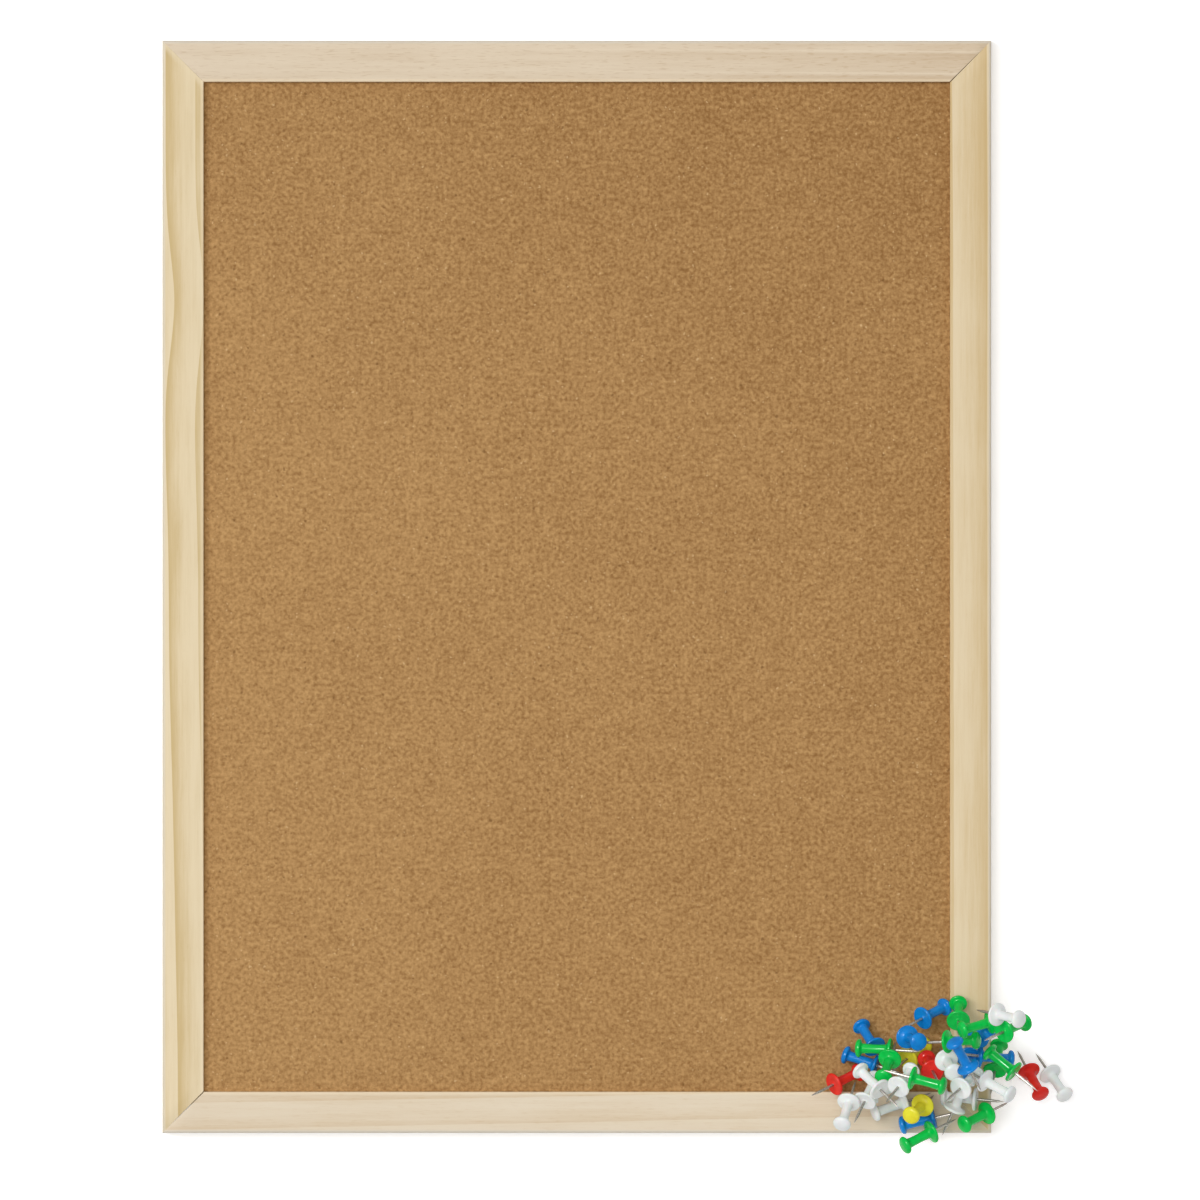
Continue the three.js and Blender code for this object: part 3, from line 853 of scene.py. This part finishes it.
# %% [markdown]
# ## Screws
# A countersunk screw is a cone, a shank with a thread and a point. The thread is a ripple in the
# radius that climbs one pitch a turn, so the same turned surface makes it. The cross in its head is
# taken out with a Boolean modifier, because no profile can hold it.

# %% Shape a screw
screw_steel = make_steel("screw_steel", paint(190, 188, 178), paint(150, 148, 140), 0.32, 0.35)
screw_turns = 32
# Height above the back's plane and radius: the head with its broken edge, the cone, and the point
screw_head = ((0, 0), (0, 2.25), (0.08, 2.4), (0.2, 2.38), (1.0, 1.0), (1.25, 0.85))
screw_point = ((6.6, 0.45), (7.2, 0.2), (7.45, 0))
shank_start, shank_end, shank_radius, shank_steps = 1.3, 6.0, 0.72, 48
thread_pitch, thread_height, thread_end = 0.9, 0.22, 6.2
# The cross recess: how far its arms reach and half their width, at the top and at the bottom
cross_top, cross_bottom, cross_depth, cross_overrun = (1.25, 0.3), (0.35, 0.12), 1.3, 0.2


def screw_surface(centre):
    """Radius = the profile's, plus on the shank the thread's height times c squared, where c is twice
    the distance of the fraction of (height / pitch - turn) from a half."""
    shank_along = np.linspace(shank_start, shank_end, shank_steps)
    shank = np.stack([shank_along, np.full(shank_steps, shank_radius)], axis=1)
    profile = np.concatenate([screw_head, shank, screw_point])
    turn = np.arange(screw_turns) / screw_turns
    along, radius = profile[1:-1].T
    climb = np.abs((along[:, None] / thread_pitch - turn) % 1 - 0.5) * 2
    threaded = ((along > shank_start) & (along < thread_end))[:, None]
    return turned(profile, screw_turns, centre, (0, 0, 1), threaded * thread_height * climb ** 2)


def prism(lower, upper):
    """Closed body between two loops of equally many points: walls, and one face at each end."""
    count = len(lower)
    caps = np.stack([np.arange(count)[::-1], np.arange(count) + count])
    return np.concatenate([lower, upper]), grid_faces(2, count, closed_columns=True), caps


def cross_loop(centre, arm, half, height):
    """Twelve corners of a plus sign: arms that reach out by arm and are two halves wide."""
    x = np.array([arm, arm, half, half, -half, -half, -arm, -arm, -half, -half, half, half])
    y = np.array([-half, half, half, arm, arm, half, half, -half, -half, -arm, -arm, -half])
    return np.stack([x + centre[0], y + centre[1], np.full(12, height)], axis=1)


def take_out(piece, cutter):
    """Boolean difference, applied, with the cutter removed after it."""
    cut = piece.modifiers.new("cut", "BOOLEAN")
    cut.operation = "DIFFERENCE"
    cut.solver = "EXACT"
    cut.object = cutter
    bpy.context.view_layer.update()
    evaluated = piece.evaluated_get(bpy.context.evaluated_depsgraph_get())
    mesh = bpy.data.meshes.new_from_object(evaluated)
    piece.modifiers.clear()
    old, piece.data = piece.data, mesh
    bpy.data.meshes.remove(old)
    bpy.data.objects.remove(cutter)
    mesh.set_sharp_from_angle(angle=sharp_angle)


screw_nodes = sorted(name for name in frame["nodes"] if name.startswith("plate_screw"))
screw_centres = []
for name in screw_nodes:
    low, high = (np.array(corner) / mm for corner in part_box(name))
    centre = np.array([(low[0] + high[0]) / 2, (low[1] + high[1]) / 2, back_z])
    screw_centres.append(centre)
    screw = mesh_piece(name.replace("plate_screw", "cross_screw"), *screw_surface(centre))
    opening = cross_loop(centre, *cross_top, back_z - cross_overrun)
    bottom = cross_loop(centre, *cross_bottom, back_z + cross_depth)
    take_out(screw, mesh_piece("cross_cutter", *prism(opening, bottom)))
    place_piece(screw, "board", "screw_steel", screw_steel, name)
print("screws:", len(screw_nodes), "with", len(screw.data.polygons), "faces each")

# %% [markdown]
# The rails' backs have a shallow seat that each plate lies in, level with the wood, and pilot holes
# under the screws. They are cut from the finished rails with the plate's own outline, grown a little.

# %% Cut the plates' seats out of the rails
plate_inset, plate_leg, plate_thickness, plate_clearance, plate_round = 2.0, 48.0, 1.2, 0.3, 2.5
hole_sink, hole_sink_radius, hole_depth, hole_radius, hole_turns = 1.0, 2.7, 7.8, 1.2, 24
round_steps, cutter_overrun = 7, 1.0


def seat_loop(side, height):
    """Triangle across a top corner with rounded corners: each corner becomes a curve between the two
    points a radius away, weighted (1 - t)^2, 2t(1 - t) and t^2."""
    near = plate_inset - plate_clearance
    far = plate_inset + plate_leg + plate_clearance * (1 + math.sqrt(2))
    corners = np.array([(near, near), (far, near), (near, far)])
    before = np.roll(corners, 1, axis=0) - corners
    after = np.roll(corners, -1, axis=0) - corners
    first = corners + before / np.linalg.norm(before, axis=1)[:, None] * plate_round
    last = corners + after / np.linalg.norm(after, axis=1)[:, None] * plate_round
    t = np.linspace(0, 1, round_steps)[None, :, None]
    curve = (1 - t) ** 2 * first[:, None] + 2 * t * (1 - t) * corners[:, None] + t ** 2 * last[:, None]
    inward = curve.reshape(-1, 2)
    x = side * (half_width - inward[:, 0])
    y = half_height - inward[:, 1]
    return np.stack([x, y, np.full(len(x), height)], axis=1)


def hole_surface(centre):
    """A turned cutter a little wider than the screw: a countersink, then a straight hole."""
    sink = [(-cutter_overrun, 0), (-cutter_overrun, hole_sink_radius), (0, hole_sink_radius)]
    hole = [(hole_sink, hole_radius), (hole_depth, hole_radius), (hole_depth, 0)]
    return turned(np.array(sink + hole), hole_turns, centre, (0, 0, 1))


for rail, sides in {"rail_left": [-1], "rail_right": [1], "rail_top": [-1, 1]}.items():
    for side in sides:
        outside = seat_loop(side, back_z - cutter_overrun)
        seat = seat_loop(side, back_z + plate_thickness + plate_clearance)
        take_out(rails[rail], mesh_piece("seat_cutter", *prism(outside, seat)))
    low, high = (np.array(corner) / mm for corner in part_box(rail))
    for centre in screw_centres:
        if (centre[:2] > low[:2]).all() and (centre[:2] < high[:2]).all():
            take_out(rails[rail], mesh_piece("hole_cutter", *hole_surface(centre)))
print("seats cut:", {name: len(piece.data.polygons) for name, piece in rails.items()})

# %% [markdown]
# ## Floor, light and camera
# The photograph is a cut-out on white, so the floor is white, and a little under half of the light is
# an even dome. A lamp from the upper left draws the thin shadow along the frame's left inner edge, and
# a broader one almost overhead fills it. These three together give a flat surface just the brightness
# that its colour says. Dome and floor are white to every ray that the eye can follow, also by way of
# a mirror or clear matter. To the rest the dome gives only its share, and a duller floor throws less
# light up.

# %% Floor
floor_reach, floor_white, floor_dull = 60.0, 1.0, 0.7
floor_lift = 0.34


def followed_rays(tree):
    """1 for camera rays, glossy rays and transmission rays, and 0 for the rest."""
    path = tree.nodes.new("ShaderNodeLightPath")
    camera = Wire(tree, path.outputs["Is Camera Ray"])
    glossy = Wire(tree, path.outputs["Is Glossy Ray"])
    clear = Wire(tree, path.outputs["Is Transmission Ray"])
    return camera.math("MAXIMUM", glossy).math("MAXIMUM", clear)


def make_floor():
    """White to the camera, with a little glow so that only real shadows show. Other rays meet a
    duller floor, so that it throws little light back up."""
    finish = bpy.data.materials.new("floor")
    finish.use_nodes = True
    tree = finish.node_tree
    tree.nodes.clear()
    seen = followed_rays(tree)
    dull = seen.node("ShaderNodeBsdfDiffuse", {}, {"Color": (floor_dull,) * 3 + (1,)})
    white = seen.node("ShaderNodeBsdfDiffuse", {}, {"Color": (floor_white,) * 3 + (1,)})
    glow = seen.node("ShaderNodeEmission", {}, {"Strength": floor_lift})
    shown = seen.node("ShaderNodeAddShader", {}, {0: white, 1: glow})
    both = seen.node("ShaderNodeMixShader", {}, {0: seen, 1: dull, 2: shown})
    out = tree.nodes.new("ShaderNodeOutputMaterial")
    tree.links.new(both.socket, out.inputs["Surface"])
    return finish


corners = np.array([(-1, -1), (1, -1), (1, 1), (-1, 1)]) * floor_reach / mm
floor = mesh_piece("floor", np.column_stack([corners, np.full(4, back_z)]), np.arange(4)[None, :])
floor.data.materials.append(make_floor())
print("floor at", back_z, "mm")

# %% Light
dome_level = 0.44
# Name: its share of the light on the face, height and heading in degrees, and how wide it looks.
# The shine lamp shows only in glossy reflections, as the highlights on the pins
lamps = {
    "key_lamp": (0.2, 52, 160, 16),
    "fill_lamp": (0.36, 80, 160, 30),
    "shine_lamp": (1.1, 62, 150, 9),
}

world = bpy.data.worlds.new("dome")
bpy.context.scene.world = world
world.use_nodes = True
tree = world.node_tree
tree.nodes.clear()
seen = followed_rays(tree)
level = seen * (1 - dome_level) + dome_level
background = seen.node("ShaderNodeBackground", {}, {"Color": (1, 1, 1, 1), "Strength": level})
out = tree.nodes.new("ShaderNodeOutputWorld")
tree.links.new(background.socket, out.inputs["Surface"])

for name, (share, height, heading, wide) in lamps.items():
    lamp = bpy.data.objects.new(name, bpy.data.lights.new(name, "SUN"))
    lamp.data.angle = math.radians(wide)
    lamp.data.energy = share * math.pi / math.sin(math.radians(height))
    lamp.rotation_euler = (0, math.radians(90 - height), math.radians(heading))
    lamp.visible_diffuse = name != "shine_lamp"
    bpy.context.scene.collection.objects.link(lamp)
    print(name, "strength", round(lamp.data.energy, 2))

# %% Camera straight over the board
view_width, view_middle, view_plane = 437.3, (8.45, -4.8), 2.0
camera_distance, sensor_width = 20000.0, 36.0

camera = bpy.data.objects.new("camera", bpy.data.cameras.new("camera"))
camera.data.sensor_width = sensor_width
camera.data.lens = sensor_width * camera_distance / view_width
camera.data.clip_end = 10 * camera_distance * mm
camera.location = (view_middle[0] * mm, view_middle[1] * mm, (view_plane + camera_distance) * mm)
bpy.context.scene.collection.objects.link(camera)
bpy.context.scene.camera = camera
bpy.context.scene.view_settings.view_transform = "Standard"
print("lens", round(camera.data.lens), "mm at", camera_distance / 1000, "m")
